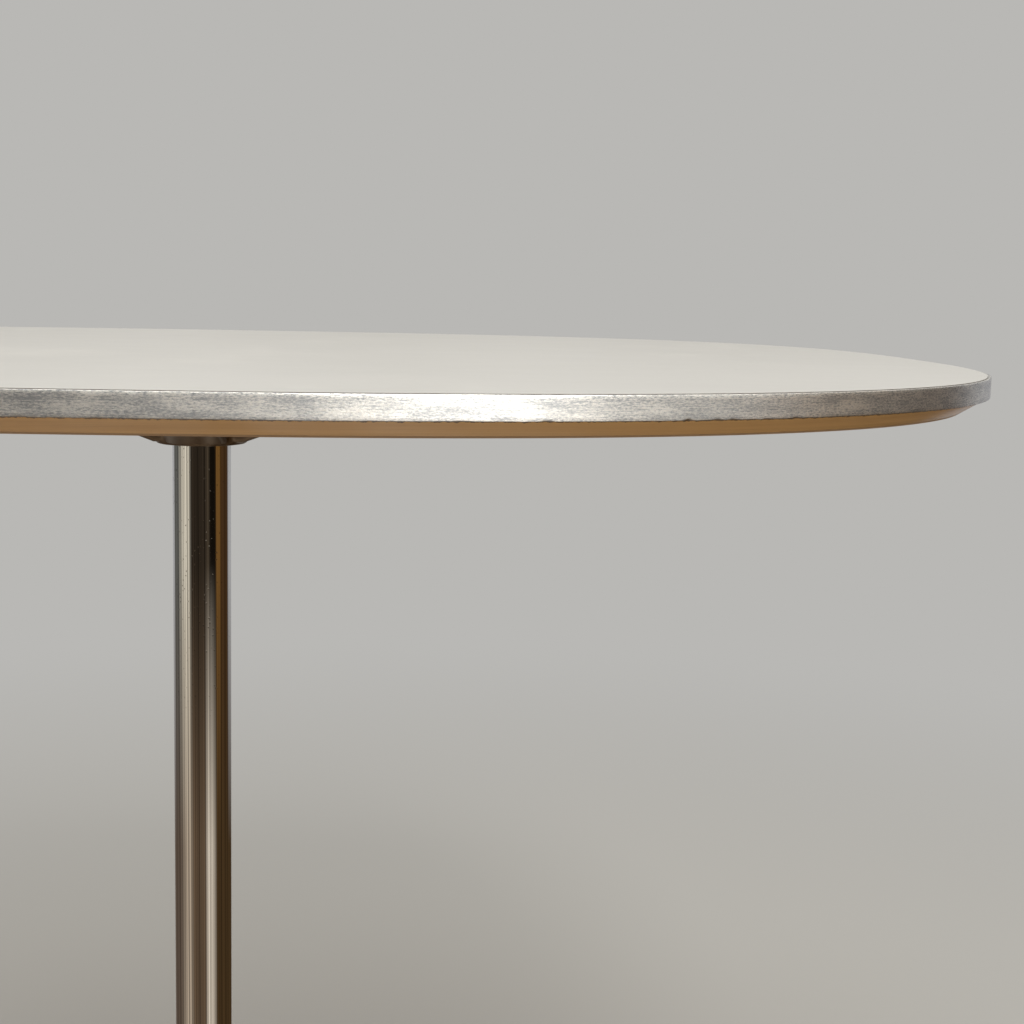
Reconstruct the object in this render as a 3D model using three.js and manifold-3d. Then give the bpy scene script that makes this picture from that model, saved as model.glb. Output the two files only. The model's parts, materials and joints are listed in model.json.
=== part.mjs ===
// A pedestal bistro table. Its top is a rounded square (a superellipse): a chipboard core between a
// laminate face and a veneer backing, with a bevelled beech lipping and an aluminium band hammered into it
// by its tongue. A four-armed casting carries the top on a chromed steel column, and a four-armed cast base
// carries the column. One tie rod through the column clamps both castings. Four screw-in glides level it.
// Millimetres, +Z up, the floor at z = 0, the column's axis on Z, and the arms along X and Y.

import * as THREE from "three";
import { mergeVertices } from "three/addons/utils/BufferGeometryUtils.js";
import Module from "manifold-3d";

// ---- Driving dimensions ----

const TABLE_HEIGHT = 720;
const TOP_HALF_WIDTH = 500;
const TOP_POWER = 2.75; // 2 would be a circle, and more is squarer
const TOP_THICKNESS = 20;
const SHEET = 1; // the laminate face and the veneer backing alike
const LIPPING_WIDTH = 24;
const BEVEL_INSET = 15.8; // from the band's face to the underside's flat
const BAND_HEIGHT = 11.7;
const BAND_WALL = 1.8;
const TONGUE = { below: 6.4, height: 1.6, depth: 7 }; // its middle is this far below the top's face

const COLUMN_RADIUS = 20;
const COLUMN_WALL = 2;
const ROD_RADIUS = 5;
const WASHER = { radius: 10, height: 2 };
const NUT = { acrossFlats: 16, height: 8 };
const ROD_ENDS = 1.5; // how far the rod shows past each nut

const HUB_RADIUS = 30.5;
const HUB_LIP = 1.6; // how far a hub stands proud of its arms
const NUT_RECESS_RADIUS = 17;
const ARM_ROOT_WIDTH = 48;
const ARM_WALL = 4.5;
const WEB = 8; // the floor of each column socket, which the tie rod pulls on

// Each arm has one curved face, from the hub to the tip. The curve is drawn towards its bend.
const SPIDER_DEPTH = 46;
const SPIDER_REACH = 155;
const SPIDER_SOCKET = 26;
const SPIDER_BEND = [67, 31]; // distance from the axis, depth below the top
const SPIDER_TIP_WIDTH = 28;
const SPIDER_TIP_DEPTH = 8;
const SPIDER_POCKET = { end: 104, rootWidth: 36, tipWidth: 22 };
const TOP_SCREW_RADII = [118, 141]; // their distances from the column's axis
const SCREW = { radius: 2.5, headRadius: 5, headHeight: 3.2, length: 22, slotWidth: 1.2, slotDepth: 1.2 };

const BASE_HEIGHT = 92;
const BASE_REACH = 350;
const BASE_SOCKET = 32;
const BASE_BEND = [112, 54]; // distance from the axis, height
const BASE_TIP_WIDTH = 32;
const BASE_TIP_TOP = 36;
const BASE_UNDERSIDE = 14;
const BASE_POCKET = { end: 316, rootWidth: 37, tipWidth: 22 };
const COVER = { depth: 12, wall: 2 };

const PAD = { radius: 16, height: 7.5, rimHeight: 4.5, chamfer: 1, socketRadius: 8, socketFloor: 3 };
const STUD = { radius: 4, top: 30, flangeRadius: 7.5, flangeHeight: 2.5, acrossFlats: 13 };
const HOLE_SPARE = 1.5; // how far a blind hole runs past what goes into it

const FIT = 0.2; // the gap round a piece that sits in another
const RUNNING_FIT = 0.3; // the gap round a piece that moves in another

const OUTLINE_STEPS = 96;
const ROUND_STEPS = 36;
const SMALL_STEPS = 16;
const SEAM_STEP = 28; // the outline step where the band's ends meet
const SEAM_ANGLE = 0.0007;
const BEYOND = 1; // how far a cutting tool passes the face it cuts

// ---- Dimensions that follow ----

const UNDERSIDE = TABLE_HEIGHT - TOP_THICKNESS;
const CORE_TOP = TABLE_HEIGHT - SHEET;
const CORE_BOTTOM = UNDERSIDE + SHEET;
const BAND_BOTTOM = TABLE_HEIGHT - BAND_HEIGHT;
const BAND_INSIDE = BAND_WALL + FIT; // inset of whatever the band encloses
const TONGUE_MIDDLE = TABLE_HEIGHT - TONGUE.below;

const SPIDER_BOTTOM = UNDERSIDE - SPIDER_DEPTH;
const COLUMN_TOP = SPIDER_BOTTOM + SPIDER_SOCKET;
const COLUMN_BOTTOM = BASE_HEIGHT - BASE_SOCKET;
const SPIDER_WEB_TOP = COLUMN_TOP + WEB;
const BASE_WEB_BOTTOM = COLUMN_BOTTOM - WEB;
const SCREW_SEAT = UNDERSIDE - SPIDER_TIP_DEPTH;

const TOP_NUT = SPIDER_WEB_TOP + WASHER.height;
const ROD_TOP = TOP_NUT + NUT.height + ROD_ENDS;
const BASE_WASHER = BASE_WEB_BOTTOM - WASHER.height;
const BASE_NUT = BASE_WASHER - NUT.height;

const GLIDE_RADIUS = BASE_REACH - BASE_TIP_WIDTH / 2; // from the column's axis, at the arm tip's centre

const QUARTER_TURN = Math.PI / 2;
const SIDES = [0, 1, 2, 3]; // one for each arm
const topScrewPlaces = SIDES.flatMap((side) => TOP_SCREW_RADII.map((radius) => ({ side, radius })));

// ---- Materials ----

const finish = (color, roughness, metalness) =>
  new THREE.MeshStandardMaterial({ color, roughness, metalness });

const LAMINATE = finish(0xdad7cc, 0.35, 0);
const CHIPBOARD = finish(0xb59a72, 0.9, 0);
const BEECH = finish(0x9a6f42, 0.5, 0);
const VENEER = finish(0xa37b4d, 0.55, 0);
const BRUSHED_ALUMINIUM = finish(0xb9b8b2, 0.35, 1);
const CAST_ALUMINIUM = finish(0x9d9a94, 0.42, 1);
const CHROME = finish(0xd8d6d0, 0.08, 1);
const STEEL = finish(0x8e8e8c, 0.35, 1);
const BLACK_PLASTIC = finish(0x1c1c1c, 0.6, 0);

// ---- Booleans ----

const wasm = await Module();
wasm.setup();

// A closed geometry as a manifold-3d solid.
function toSolid(geometry) {
  const bare = geometry.clone();
  bare.deleteAttribute("normal");
  bare.deleteAttribute("uv");
  const merged = mergeVertices(bare, 1e-4);
  const mesh = new wasm.Mesh({
    numProp: 3,
    vertProperties: merged.attributes.position.array,
    triVerts: new Uint32Array(merged.index.array),
  });
  return new wasm.Manifold(mesh);
}

function toGeometry(solid) {
  const mesh = solid.getMesh();
  const geometry = new THREE.BufferGeometry();
  geometry.setAttribute("position", new THREE.BufferAttribute(mesh.vertProperties, 3));
  geometry.setIndex(new THREE.BufferAttribute(mesh.triVerts, 1));
  geometry.computeVertexNormals();
  return geometry;
}

const join = (first, ...others) => {
  return toGeometry(others.reduce((sum, other) => sum.add(toSolid(other)), toSolid(first)));
};
const cut = (body, ...tools) => {
  return toGeometry(tools.reduce((rest, tool) => rest.subtract(toSolid(tool)), toSolid(body)));
};
const common = (a, b) => toGeometry(toSolid(a).intersect(toSolid(b)));

// ---- Basic shapes ----

const upright = (geometry) => geometry.rotateX(QUARTER_TURN); // turns a shape drawn along Y to stand along Z

function cylinder(radius, low, high, steps = ROUND_STEPS) {
  const standing = upright(new THREE.CylinderGeometry(radius, radius, high - low, steps));
  return standing.translate(0, 0, (low + high) / 2);
}

// A solid of revolution about Z, from [radius, z] corners that run up its outside and end on the axis.
function turned(corners, steps = ROUND_STEPS) {
  return upright(new THREE.LatheGeometry(corners.map(([r, z]) => new THREE.Vector2(r, z)), steps));
}

// A flat sheet of a plan shape between two heights.
function plate(shape, low, high) {
  const options = { depth: high - low, bevelEnabled: false, curveSegments: 8 };
  const solid = new THREE.ExtrudeGeometry(shape, options);
  return solid.translate(0, 0, low);
}

const hexagon = (acrossFlats, low, high) => cylinder(acrossFlats / Math.sqrt(3), low, high, 6);

// Skins a row of sections with equal counts of points, each turning anticlockwise about the way they run.
// A closed row joins its last section to its first, and an open one is capped at both ends.
function skin(sections, closed) {
  const count = sections[0].length;
  const corners = sections.flat();
  const faces = [];
  const rows = closed ? sections.length : sections.length - 1;
  for (let row = 0; row < rows; row++) {
    const next = (row + 1) % sections.length;
    for (let i = 0; i < count; i++) {
      const j = (i + 1) % count;
      const [a, b, c, d] = [row * count + i, row * count + j, next * count + j, next * count + i];
      faces.push(a, b, c, a, c, d);
    }
  }
  if (!closed) {
    faces.push(...cap(sections[0], 0, true), ...cap(sections.at(-1), corners.length - count, false));
  }
  const geometry = new THREE.BufferGeometry().setFromPoints(corners);
  geometry.setIndex(faces);
  geometry.computeVertexNormals();
  return geometry;
}

// The triangles of one flat section, drawn in its own plane.
function cap(section, firstIndex, backwards) {
  const along = section[1].clone().sub(section[0]).normalize();
  const normal = new THREE.Vector3();
  section.forEach((p, i) => normal.add(p.clone().cross(section[(i + 1) % section.length])));
  const across = normal.normalize().cross(along);
  const flat = section.map((p) => new THREE.Vector2(p.dot(along), p.dot(across)));
  return THREE.ShapeUtils.triangulateShape(flat, []).flatMap(([a, b, c]) =>
    (backwards ? [c, b, a] : [a, b, c]).map((i) => i + firstIndex),
  );
}

// ---- The top ----

// A point of the top's outline in the direction of angle, moved in by inset along the outline's normal.
function outlinePoint(angle, inset) {
  const across = new THREE.Vector2(Math.cos(angle), Math.sin(angle));
  const steepness = Math.abs(across.x) ** TOP_POWER + Math.abs(across.y) ** TOP_POWER;
  const slope = (v) => Math.sign(v) * Math.abs(v) ** (TOP_POWER - 1);
  const outward = new THREE.Vector2(slope(across.x), slope(across.y)).normalize();
  const reach = TOP_HALF_WIDTH / steepness ** (1 / TOP_POWER);
  return across.multiplyScalar(reach).addScaledVector(outward, -inset);
}

const outlineAngles = Array.from({ length: OUTLINE_STEPS }, (_, i) => (2 * Math.PI * i) / OUTLINE_STEPS);

// A sheet that follows the outline, with one inset at its lower face and another at its upper face.
function sheet(low, lowInset, high, highInset) {
  const section = (z, inset) =>
    outlineAngles.map((angle) => {
      const { x, y } = outlinePoint(angle, inset);
      return new THREE.Vector3(x, y, z);
    });
  return skin([section(low, lowInset), section(high, highInset)], false);
}

// A moulding round the outline, from [inset, z] corners that turn clockwise seen along the way it runs.
function moulding(corners, angles, closed) {
  const section = (angle) =>
    corners.map(([inset, z]) => {
      const { x, y } = outlinePoint(angle, inset);
      return new THREE.Vector3(x, y, z);
    });
  return skin(angles.map(section), closed);
}

const bevelSlope = (BEVEL_INSET - BAND_INSIDE) / (BAND_BOTTOM - UNDERSIDE);
const bevelInset = (z) => BAND_INSIDE + (BAND_BOTTOM - z) * bevelSlope;

// The band is one strip bent round the edge, so it has a fine butt joint on the side away from the front.
function edgeBand() {
  const seam = outlineAngles[SEAM_STEP];
  const low = TONGUE_MIDDLE - TONGUE.height / 2;
  const high = TONGUE_MIDDLE + TONGUE.height / 2;
  const corners = [
    [0, BAND_BOTTOM],
    [BAND_WALL, BAND_BOTTOM],
    [BAND_WALL, low],
    [BAND_WALL + TONGUE.depth, low],
    [BAND_WALL + TONGUE.depth, high],
    [BAND_WALL, high],
    [BAND_WALL, TABLE_HEIGHT],
    [0, TABLE_HEIGHT],
  ];
  const between = outlineAngles.slice(1).map((angle) => angle + seam);
  return moulding(corners, [seam + SEAM_ANGLE / 2, ...between, seam + 2 * Math.PI - SEAM_ANGLE / 2], false);
}

function edgeLipping() {
  const groove = TONGUE.height / 2 + FIT;
  const floor = BAND_INSIDE + TONGUE.depth + FIT;
  const inner = BAND_INSIDE + LIPPING_WIDTH;
  const corners = [
    [BAND_INSIDE, BAND_BOTTOM],
    [bevelInset(CORE_BOTTOM), CORE_BOTTOM],
    [inner, CORE_BOTTOM],
    [inner, CORE_TOP],
    [BAND_INSIDE, CORE_TOP],
    [BAND_INSIDE, TONGUE_MIDDLE + groove],
    [floor, TONGUE_MIDDLE + groove],
    [floor, TONGUE_MIDDLE - groove],
    [BAND_INSIDE, TONGUE_MIDDLE - groove],
  ];
  return moulding(corners, outlineAngles, true);
}

// ---- Screws that hold the top to its casting ----

// A shape drawn on the axis, moved out along one of the four arms.
function onArm(geometry, side, radius) {
  return geometry.translate(radius, 0, 0).rotateZ(side * QUARTER_TURN);
}

function panHeadScrew() {
  const { radius, headRadius, headHeight, length, slotWidth, slotDepth } = SCREW;
  const corners = [
    [0, SCREW_SEAT - headHeight],
    [headRadius * 0.55, SCREW_SEAT - headHeight],
    [headRadius * 0.9, SCREW_SEAT - headHeight * 0.7],
    [headRadius, SCREW_SEAT - headHeight * 0.3],
    [headRadius, SCREW_SEAT],
    [radius, SCREW_SEAT],
    [radius, SCREW_SEAT + length - radius],
    [0, SCREW_SEAT + length],
  ];
  const slot = new THREE.BoxGeometry(2 * headRadius + BEYOND, slotWidth, 2 * slotDepth);
  return cut(turned(corners, SMALL_STEPS), slot.translate(0, 0, SCREW_SEAT - headHeight));
}

function withScrewHoles(geometry) {
  const end = SCREW_SEAT + SCREW.length + BEYOND;
  const hole = () => cylinder(SCREW.radius + FIT, UNDERSIDE - BEYOND, end, SMALL_STEPS);
  return cut(geometry, ...topScrewPlaces.map(({ side, radius }) => onArm(hole(), side, radius)));
}

// ---- The two castings ----

// The plan of one arm along +X: it tapers from the hub to a round tip.
function armPlan(reach, rootWidth, tipWidth, start = 0) {
  const tipRadius = tipWidth / 2;
  const plan = new THREE.Shape();
  plan.moveTo(start, -rootWidth / 2);
  plan.lineTo(reach - tipRadius, -tipRadius);
  plan.absarc(reach - tipRadius, 0, tipRadius, -Math.PI / 2, Math.PI / 2);
  plan.lineTo(start, rootWidth / 2);
  plan.closePath();
  return plan;
}

// One arm's side view between a flat face and a face that sweeps from the hub to the tip in one curve.
function armSide({ start, end, flat, root, bend, tip }) {
  const side = new THREE.Shape();
  side.moveTo(start, flat);
  side.lineTo(start, root[1]);
  side.lineTo(...root);
  side.quadraticCurveTo(...bend, ...tip);
  side.lineTo(end, tip[1]);
  side.lineTo(end, flat);
  side.closePath();
  const width = 2 * ARM_ROOT_WIDTH;
  return upright(plate(side, 0, width)).translate(0, width / 2, 0);
}

// The hollow of one arm, a wall's thickness inside the arm's own curve. It opens through the flat face.
function armPocket({ end, rootWidth, tipWidth }, flat, { root, bend, tip }) {
  const inwards = Math.sign(flat - root[1]) * (ARM_WALL + BEYOND);
  const start = root[0] + ARM_WALL;
  const curve = {
    root: [start, root[1] + 1.5 * inwards],
    bend: [bend[0], bend[1] + inwards],
    tip: [end, tip[1] + inwards],
  };
  const side = armSide({ start, end, flat: flat + Math.sign(inwards) * BEYOND, ...curve });
  return common(side, plate(armPlan(end, rootWidth, tipWidth, start), 0, TABLE_HEIGHT));
}

const fourTimes = (geometry) => SIDES.map((side) => onArm(geometry.clone(), side, 0));

// The casting under the top. Its arms are hollow from above, and solid at the tips, where the screws go.
function topSpider() {
  const [bendRadius, bendDepth] = SPIDER_BEND;
  const curve = {
    root: [HUB_RADIUS, SPIDER_BOTTOM + HUB_LIP],
    bend: [bendRadius, UNDERSIDE - bendDepth],
    tip: [SPIDER_REACH - SPIDER_TIP_WIDTH / 2, SCREW_SEAT - BEYOND],
  };
  const side = armSide({ start: 0, end: SPIDER_REACH + BEYOND, flat: UNDERSIDE, ...curve });
  const arm = common(side, plate(armPlan(SPIDER_REACH, ARM_ROOT_WIDTH, SPIDER_TIP_WIDTH), 0, TABLE_HEIGHT));
  const seats = topScrewPlaces.flatMap(({ side, radius }) => [
    onArm(cylinder(SCREW.headRadius + FIT, SPIDER_BOTTOM, SCREW_SEAT, SMALL_STEPS), side, radius),
    onArm(cylinder(SCREW.radius + FIT, SPIDER_BOTTOM, TABLE_HEIGHT, SMALL_STEPS), side, radius),
  ]);
  return cut(
    join(cylinder(HUB_RADIUS, SPIDER_BOTTOM, UNDERSIDE), ...fourTimes(arm)),
    ...fourTimes(armPocket(SPIDER_POCKET, UNDERSIDE, curve)),
    cylinder(COLUMN_RADIUS + FIT, SPIDER_BOTTOM - BEYOND, COLUMN_TOP),
    cylinder(ROD_RADIUS + FIT, COLUMN_TOP - BEYOND, SPIDER_WEB_TOP + BEYOND, SMALL_STEPS),
    cylinder(NUT_RECESS_RADIUS, SPIDER_WEB_TOP, TABLE_HEIGHT),
    ...seats,
  );
}

// The casting on the floor: the same design turned over, hollow below, with a blind hole for each glide.
function baseStar() {
  const curve = {
    root: [HUB_RADIUS, BASE_HEIGHT - HUB_LIP],
    bend: BASE_BEND,
    tip: [GLIDE_RADIUS, BASE_TIP_TOP],
  };
  const side = armSide({ start: 0, end: BASE_REACH + BEYOND, flat: BASE_UNDERSIDE, ...curve });
  const arm = common(side, plate(armPlan(BASE_REACH, ARM_ROOT_WIDTH, BASE_TIP_WIDTH), 0, BASE_HEIGHT));
  const glideHole = cylinder(STUD.radius + RUNNING_FIT, 0, STUD.top + HOLE_SPARE, SMALL_STEPS);
  return cut(
    join(cylinder(HUB_RADIUS, BASE_UNDERSIDE, BASE_HEIGHT), ...fourTimes(arm)),
    ...fourTimes(armPocket(BASE_POCKET, BASE_UNDERSIDE, curve)),
    cylinder(COLUMN_RADIUS + FIT, COLUMN_BOTTOM, BASE_HEIGHT + BEYOND),
    cylinder(ROD_RADIUS + FIT, BASE_WEB_BOTTOM - BEYOND, COLUMN_BOTTOM + BEYOND, SMALL_STEPS),
    cylinder(NUT_RECESS_RADIUS, 0, BASE_WEB_BOTTOM),
    ...fourTimes(onArm(glideHole, 0, GLIDE_RADIUS)),
  );
}

// A plastic cup that closes the hub from below.
function hubCover() {
  const radius = NUT_RECESS_RADIUS - FIT;
  const rim = radius - COVER.wall;
  const floor = BASE_UNDERSIDE + COVER.wall;
  const top = BASE_UNDERSIDE + COVER.depth;
  const corners = [
    [0, BASE_UNDERSIDE],
    [radius, BASE_UNDERSIDE],
    [radius, top],
    [rim, top],
    [rim, floor],
    [0, floor],
  ];
  return turned(corners);
}

// ---- The column and its tie rod ----

function columnTube() {
  const bore = cylinder(COLUMN_RADIUS - COLUMN_WALL, COLUMN_BOTTOM - BEYOND, COLUMN_TOP + BEYOND);
  return cut(cylinder(COLUMN_RADIUS, COLUMN_BOTTOM, COLUMN_TOP), bore);
}

const rodHole = () => cylinder(ROD_RADIUS + FIT, 0, TABLE_HEIGHT, SMALL_STEPS);
const washer = (low) => cut(cylinder(WASHER.radius, low, low + WASHER.height), rodHole());
const nut = (low) => cut(hexagon(NUT.acrossFlats, low, low + NUT.height), rodHole());

// ---- The glides ----

function glidePad() {
  const corners = [
    [0, 0],
    [PAD.radius - PAD.chamfer, 0],
    [PAD.radius, PAD.chamfer],
    [PAD.radius, PAD.rimHeight],
    [1.5 * PAD.socketRadius, PAD.height],
    [PAD.socketRadius, PAD.height],
    [PAD.socketRadius, PAD.socketFloor],
    [0, PAD.socketFloor],
  ];
  return turned(corners);
}

// A stud that turns in the pad on its flange. Screwed right in, its hexagon comes up against the arm.
function glideStud() {
  const flangeLow = PAD.socketFloor + RUNNING_FIT;
  const shank = cylinder(STUD.radius, flangeLow, STUD.top, SMALL_STEPS);
  const flange = cylinder(STUD.flangeRadius, flangeLow, flangeLow + STUD.flangeHeight, SMALL_STEPS);
  const drive = hexagon(STUD.acrossFlats, PAD.height + 2 * RUNNING_FIT, BASE_UNDERSIDE - RUNNING_FIT);
  return join(shank, flange, drive);
}

// ---- The table ----

const table = new THREE.Group();

function add(name, geometry, material) {
  const mesh = new THREE.Mesh(geometry, material);
  mesh.name = name;
  table.add(mesh);
  return mesh;
}

add("laminate_sheet", sheet(CORE_TOP, BAND_INSIDE, TABLE_HEIGHT, BAND_INSIDE), LAMINATE);
const coreInset = BAND_INSIDE + LIPPING_WIDTH + FIT;
add("core_panel", withScrewHoles(sheet(CORE_BOTTOM, coreInset, CORE_TOP, coreInset)), CHIPBOARD);
add("edge_lipping", edgeLipping(), BEECH);
const backing = sheet(UNDERSIDE, bevelInset(UNDERSIDE), CORE_BOTTOM, bevelInset(CORE_BOTTOM));
add("backing_veneer", withScrewHoles(backing), VENEER);
add("edge_band", edgeBand(), BRUSHED_ALUMINIUM);

add("top_spider", topSpider(), CAST_ALUMINIUM);
topScrewPlaces.forEach(({ side, radius }, i) => {
  const screw = add(`top_screw_${i + 1}`, panHeadScrew(), STEEL);
  screw.position.set(radius, 0, 0).applyAxisAngle(new THREE.Vector3(0, 0, 1), side * QUARTER_TURN);
  screw.rotation.z = i * 0.7; // slots stop where they stop
});

add("column_tube", columnTube(), CHROME);
add("tie_rod", cylinder(ROD_RADIUS, BASE_NUT - ROD_ENDS, ROD_TOP, SMALL_STEPS), STEEL);
add("tie_rod_top_washer", washer(SPIDER_WEB_TOP), STEEL);
add("tie_rod_top_nut", nut(TOP_NUT), STEEL);
add("tie_rod_base_washer", washer(BASE_WASHER), STEEL);
add("tie_rod_base_nut", nut(BASE_NUT), STEEL);

add("base_star", baseStar(), CAST_ALUMINIUM);
add("hub_cover", hubCover(), BLACK_PLASTIC);
for (const side of SIDES) {
  add(`glide_pad_${side + 1}`, onArm(glidePad(), side, GLIDE_RADIUS), BLACK_PLASTIC);
  add(`glide_stud_${side + 1}`, onArm(glideStud(), side, GLIDE_RADIUS), STEEL);
}

export default table;
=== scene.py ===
"""The looks of a pedestal bistro table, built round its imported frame. Metres, +Z up, the floor at z = 0.

Every visible CAD node is stood for by a fine piece of the same size: swept and turned meshes for the top,
the band, the column and the hardware, and filleted castings meshed from a signed distance.
"""

import json
import math

import bmesh
import bpy
import numpy as np
from mathutils import Matrix, Vector


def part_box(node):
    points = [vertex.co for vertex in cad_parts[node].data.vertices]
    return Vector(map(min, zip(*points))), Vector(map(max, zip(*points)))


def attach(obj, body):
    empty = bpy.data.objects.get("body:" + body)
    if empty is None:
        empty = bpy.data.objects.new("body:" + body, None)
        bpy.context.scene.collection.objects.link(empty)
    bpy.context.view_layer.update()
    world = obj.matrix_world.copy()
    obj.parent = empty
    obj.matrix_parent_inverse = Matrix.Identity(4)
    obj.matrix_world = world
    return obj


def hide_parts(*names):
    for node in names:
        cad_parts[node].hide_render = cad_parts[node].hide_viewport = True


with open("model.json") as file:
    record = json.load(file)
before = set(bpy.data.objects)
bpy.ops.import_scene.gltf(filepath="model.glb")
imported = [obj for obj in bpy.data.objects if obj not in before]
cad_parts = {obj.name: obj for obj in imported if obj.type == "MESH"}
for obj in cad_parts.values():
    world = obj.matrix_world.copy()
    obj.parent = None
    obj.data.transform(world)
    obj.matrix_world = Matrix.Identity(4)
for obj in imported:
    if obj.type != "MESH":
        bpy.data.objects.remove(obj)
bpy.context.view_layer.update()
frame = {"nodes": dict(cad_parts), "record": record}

MM = 0.001

# ---- Driving dimensions that the frame's boxes don't give, the same as the solids' ----

OUTLINE_POWER = 2.75  # of the top's superellipse
BAND_WALL = 1.8 * MM
FIT = 0.2 * MM
TONGUE_DEPTH = 7 * MM
TONGUE_MIDDLE = 6.4 * MM  # below the top's face
TONGUE_HEIGHT = 1.6 * MM
LIPPING_WIDTH = 24 * MM
BEVEL_INSET = 15.8 * MM
COLUMN_WALL = 2 * MM
HUB_RADIUS = 30.5 * MM
HUB_LIP = 1.6 * MM
HUB_ROUNDING = 1.4 * MM
HUB_FILLET = 2 * MM  # where an arm runs into the hub
ARM_FILLET = 5 * MM  # where two arms meet
ARM_ROUNDING = 3.5 * MM
POCKET_FILLET = 6 * MM
EDGE_ROUNDING = 1.2 * MM  # of a casting's flat face and its pockets
ARM_DRAFT = 0.03  # how far an arm's sides lean in for each unit of depth
HUB_DRAFT = 0.01
SLOPE_SHARE = 0.93  # height above a sloping arm as a true distance from it
ROOF_SHARE = 1.15  # a pocket's roof in shares of its wall
ARM_ROOT = 48 * MM
ROD_HOLE = 5.2 * MM
NUT_RECESS = 17 * MM
WEB = 8 * MM
LAMINATE_STEP = 0.4 * MM  # how far the laminate stands above the worn band
SCREW_RADII = (118 * MM, 141 * MM)
SCREW_LENGTH = 22 * MM  # under its head
SCREW_RADIUS = 2.5 * MM
SCREW_SLOT = 1.2 * MM  # its width and its depth
SCREW_TURN = 0.7  # radians by which each screw's slot is turned on from the last
ROD_THREAD = 40 * MM  # the length of the thread at each end of the tie rod
COVER_WALL = 2 * MM
PAD_WELL = 8 * MM  # the radius of the hollow in a glide pad
PAD_FLOOR = 3 * MM
PAD_SIDE = 4.5 * MM  # the height of a glide pad's upright side
STUD_RADIUS = 4 * MM
FLANGE_HEIGHT = 2.5 * MM
FLANGE_CHAMFER = 0.4 * MM
HEX_ACROSS = 13 * MM  # a glide stud's hexagon, across its flats
HEX_HEIGHT = 5.6 * MM
GLIDE_HOLE = (4.3 * MM, 17.5 * MM)  # radius, depth
PAN_HEIGHT = 0.8  # how much of a screw's head its dome takes up
STUD_PITCH = 1.25 * MM
ROD_PITCH = 1.5 * MM
SCREW_PITCH = 2.2 * MM

# ---- Meshes from arrays of points ----


def make_object(name, points, faces, sharp_degrees=35):
    """An object from (n, 3) points and a list of faces, smooth except at corners sharper than given."""
    mesh = bpy.data.meshes.new(name)
    mesh.from_pydata(points, [], faces)
    mesh.validate()
    mesh.shade_smooth()
    mesh.set_sharp_from_angle(angle=math.radians(sharp_degrees))
    piece = bpy.data.objects.new(name, mesh)
    bpy.context.scene.collection.objects.link(piece)
    return piece


def grid_faces(rows, columns, close_rows, close_columns):
    """Quads between neighbouring rows and columns of a grid of points."""
    row = np.arange(rows if close_rows else rows - 1)
    column = np.arange(columns if close_columns else columns - 1)
    i, j = (a.ravel() for a in np.meshgrid(row, column, indexing="ij"))
    i_next, j_next = (i + 1) % rows, (j + 1) % columns
    corners = (i * columns + j, i * columns + j_next, i_next * columns + j_next, i_next * columns + j)
    return np.stack(corners, 1).tolist()


def soften(corners, closed=False, steps=4):
    """A polyline from (x, y, softness) corners, each rounded off within its softness."""
    count = len(corners)
    line = []
    for i, (x, y, softness) in enumerate(corners):
        here = Vector((x, y))
        if softness == 0 or (not closed and i in (0, count - 1)):
            line.append(here)
            continue
        before = Vector(corners[i - 1][:2])
        after = Vector(corners[(i + 1) % count][:2])
        start = here + (before - here).normalized() * softness
        end = here + (after - here).normalized() * softness
        for k in range(steps + 1):
            t = k / steps
            line.append(start * (1 - t) ** 2 + here * 2 * t * (1 - t) + end * t * t)
    return line


def divide(line, longest, closed=False):
    """The same polyline with no stretch longer than given."""
    out = []
    ends = line[1:] + line[:1] if closed else line[1:]
    for a, b in zip(line, ends):
        pieces = max(1, math.ceil((b - a).length / longest))
        out += [a.lerp(b, k / pieces) for k in range(pieces)]
    return out if closed else out + [line[-1]]


def turned(name, rows, columns=96, ring=False, centre=(0, 0)):
    """A solid round an upright axis, from (z, radius) rows up its outside. A radius may vary by column."""
    angle = np.arange(columns) * 2 * math.pi / columns
    across = np.stack([np.cos(angle), np.sin(angle)], 1)
    points = np.zeros((len(rows), columns, 3))
    for row, (z, radius) in zip(points, rows):
        row[:, :2] = across * np.broadcast_to(radius, columns)[:, None] + centre
        row[:, 2] = z
    piece = make_object(name, points.reshape(-1, 3), grid_faces(len(rows), columns, ring, True))
    weld(piece)
    return piece


def weld(piece):
    """Merges points that coincide, such as the ends of a turned solid on its axis."""
    shape = bmesh.new()
    shape.from_mesh(piece.data)
    bmesh.ops.remove_doubles(shape, verts=shape.verts, dist=1e-6)
    bmesh.ops.dissolve_degenerate(shape, edges=shape.edges, dist=1e-7)
    bmesh.ops.recalc_face_normals(shape, faces=shape.faces)
    shape.to_mesh(piece.data)
    shape.free()


def profile_rows(corners, closed=False, longest=1.0):
    """(z, radius) rows from (radius, z, softness) corners."""
    return [(p.y, p.x) for p in divide(soften(corners, closed), longest, closed)]


# ---- The top's outline ----

top_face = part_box("laminate_sheet")[1].z
half_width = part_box("edge_band")[1].x


def outline(angle):
    """Points of the top's outline, its outward normals, and the distance run along it."""
    c, s = np.cos(angle), np.sin(angle)
    reach = half_width / (np.abs(c) ** OUTLINE_POWER + np.abs(s) ** OUTLINE_POWER) ** (1 / OUTLINE_POWER)
    points = np.stack([reach * c, reach * s], 1)
    slope = np.sign(points) * (np.abs(points) / half_width) ** (OUTLINE_POWER - 1)
    normals = slope / np.linalg.norm(slope, axis=1, keepdims=True)
    run = np.concatenate([[0], np.cumsum(np.linalg.norm(np.diff(points, axis=0), axis=1))])
    return points, normals, run


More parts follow.
